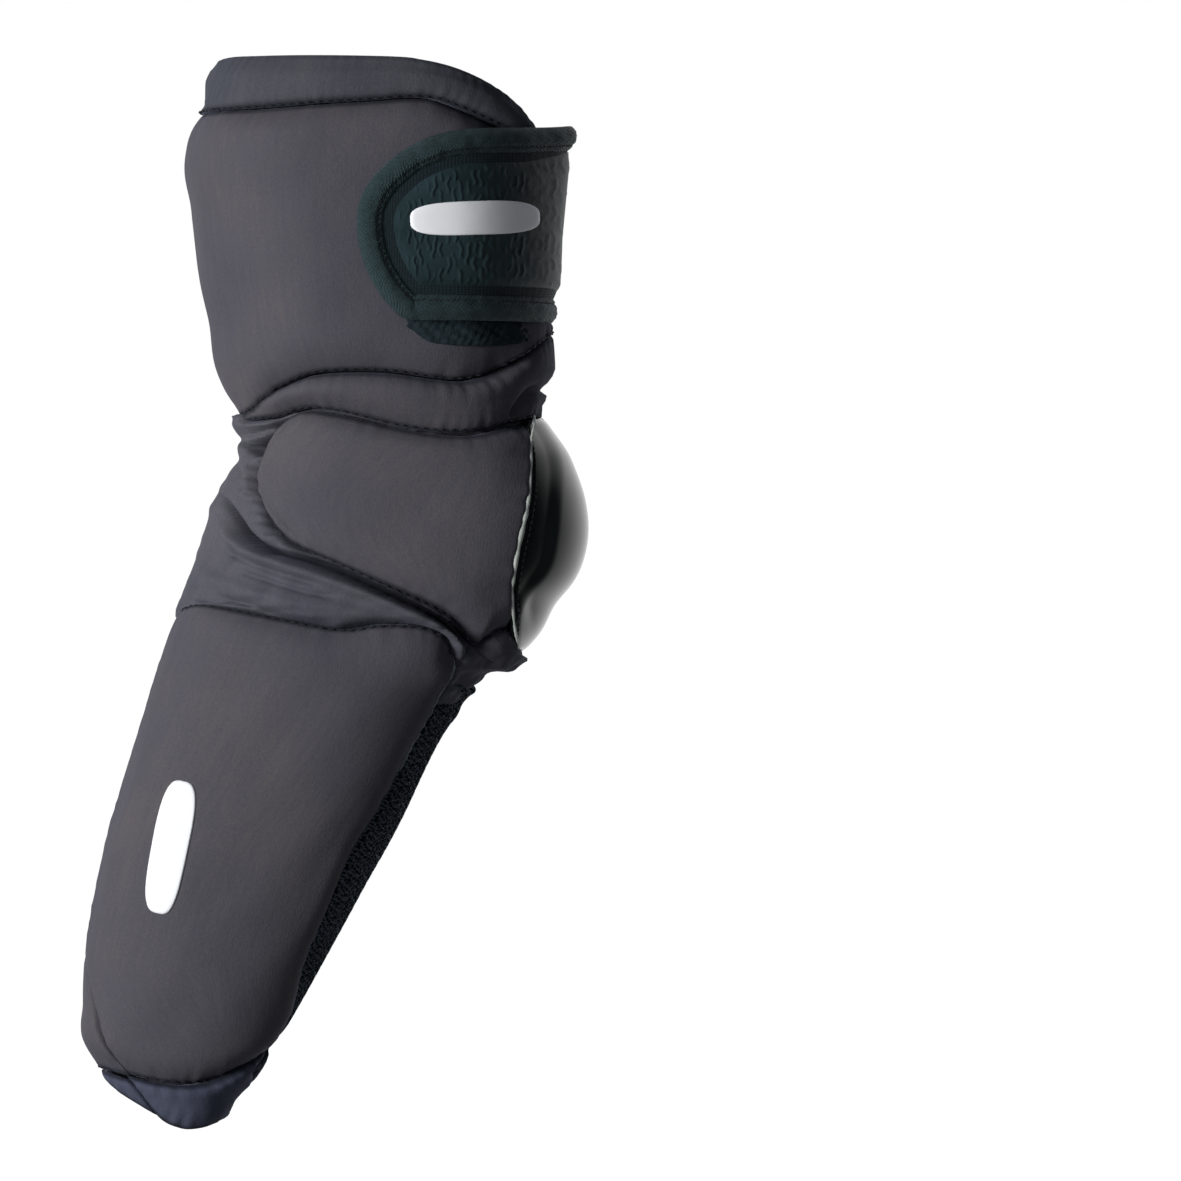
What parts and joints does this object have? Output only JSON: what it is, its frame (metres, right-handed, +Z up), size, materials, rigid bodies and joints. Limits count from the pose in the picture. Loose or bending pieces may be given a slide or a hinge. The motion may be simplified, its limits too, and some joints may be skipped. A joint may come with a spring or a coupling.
{
  "type": "padded arm guard",
  "caption": "Padded sleeve guard for a goalkeeper's arm: upper-arm pads with a peel-off strap, a bending elbow with a hard cap, and forearm pads down to the wrist.",
  "frame": {"origin": "centre of the upper-arm opening", "axes": "+Z up the upper arm, out of the opening; +X towards the back of the elbow, where the hard cap is; -Y towards the outer side of the arm, which carries the strap tab"},
  "size_m": [0.1916, 0.1326, 0.4175],
  "materials": {
    "rim_foam": "closed-cell foam roll",
    "rim_cover": "fine stretch knit, matt",
    "biceps_foam_outer": "closed-cell foam pad",
    "biceps_cover_outer": "fine stretch knit, matt",
    "biceps_foam_inner": "closed-cell foam pad",
    "biceps_cover_inner": "fine stretch knit, matt",
    "upper_lining": "smooth lining knit",
    "band_foam": "closed-cell foam roll",
    "band_cover": "fine stretch knit, matt",
    "loop_field": "napped loop pile",
    "strap_anchor": "woven elastic strap",
    "strap_webbing": "woven elastic strap",
    "strap_hook_patch": "moulded hook tape",
    "strap_grip_panel": "ribbed jacquard weave",
    "strap_binding": "herringbone edge tape",
    "strap_badge": "plain moulded lozenge, satin white",
    "wing_foam_outer": "closed-cell foam pad",
    "wing_cover_outer": "fine stretch knit, matt",
    "wing_foam_inner": "closed-cell foam pad",
    "wing_cover_inner": "fine stretch knit, matt",
    "elbow_cap": "glossy moulded shell",
    "elbow_cap_liner": "closed-cell foam pad",
    "elbow_welt": "raw light edge of the sewn flange",
    "elbow_gusset": "thin gathered stretch knit",
    "forearm_foam_outer": "closed-cell foam pad",
    "forearm_cover_outer": "fine stretch knit, matt",
    "forearm_foam_inner": "closed-cell foam pad",
    "forearm_cover_inner": "fine stretch knit, matt",
    "mesh_panel": "open spacer mesh",
    "forearm_lining": "smooth lining knit",
    "forearm_badge": "plain printed lozenge, satin white",
    "wrist_flap_outer": "padded stretch knit, matt",
    "wrist_flap_inner": "padded stretch knit, matt"
  },
  "bodies": {
    "upper_arm": {"rim_foam": "rim_foam", "rim_cover": "rim_cover", "biceps_foam_outer": "biceps_foam_outer", "biceps_cover_outer": "biceps_cover_outer", "biceps_foam_inner": "biceps_foam_inner", "biceps_cover_inner": "biceps_cover_inner", "upper_lining": "upper_lining", "band_foam": "band_foam", "band_cover": "band_cover", "loop_field": "loop_field", "strap_anchor": "strap_anchor"},
    "elbow": {"wing_foam_outer": "wing_foam_outer", "wing_cover_outer": "wing_cover_outer", "wing_foam_inner": "wing_foam_inner", "wing_cover_inner": "wing_cover_inner", "elbow_cap": "elbow_cap", "elbow_cap_liner": "elbow_cap_liner", "elbow_welt": "elbow_welt", "elbow_gusset": "elbow_gusset"},
    "forearm": {"forearm_foam_outer": "forearm_foam_outer", "forearm_cover_outer": "forearm_cover_outer", "forearm_foam_inner": "forearm_foam_inner", "forearm_cover_inner": "forearm_cover_inner", "mesh_panel": "mesh_panel", "forearm_lining": "forearm_lining", "forearm_badge": "forearm_badge", "wrist_flap_outer": "wrist_flap_outer", "wrist_flap_inner": "wrist_flap_inner"},
    "strap_tab": {"strap_webbing": "strap_webbing", "strap_hook_patch": "strap_hook_patch", "strap_grip_panel": "strap_grip_panel", "strap_binding": "strap_binding", "strap_badge": "strap_badge"}
  },
  "joints": [
    {"name": "elbow_fold", "type": "hinge", "parent": "upper_arm", "child": "elbow", "pos_m": [0.01, 0, -0.171], "axis": [0, 1, 0], "range_deg": [-6, 24], "deforming": ["band_foam", "band_cover"]},
    {"name": "forearm_fold", "type": "hinge", "parent": "elbow", "child": "forearm", "pos_m": [0.01, 0, -0.171], "axis": [0, 1, 0], "range_deg": [-9, 36], "deforming": ["elbow_gusset"]},
    {"name": "strap_peel", "type": "hinge", "parent": "upper_arm", "child": "strap_tab", "pos_m": [0.075, 0, -0.065], "axis": [0.054, 0, 0.9985], "range_deg": [0, 110]}
  ],
  "couplings": [
    {"joint": "forearm_fold", "follows": "elbow_fold", "ratio": 1.5}
  ]
}
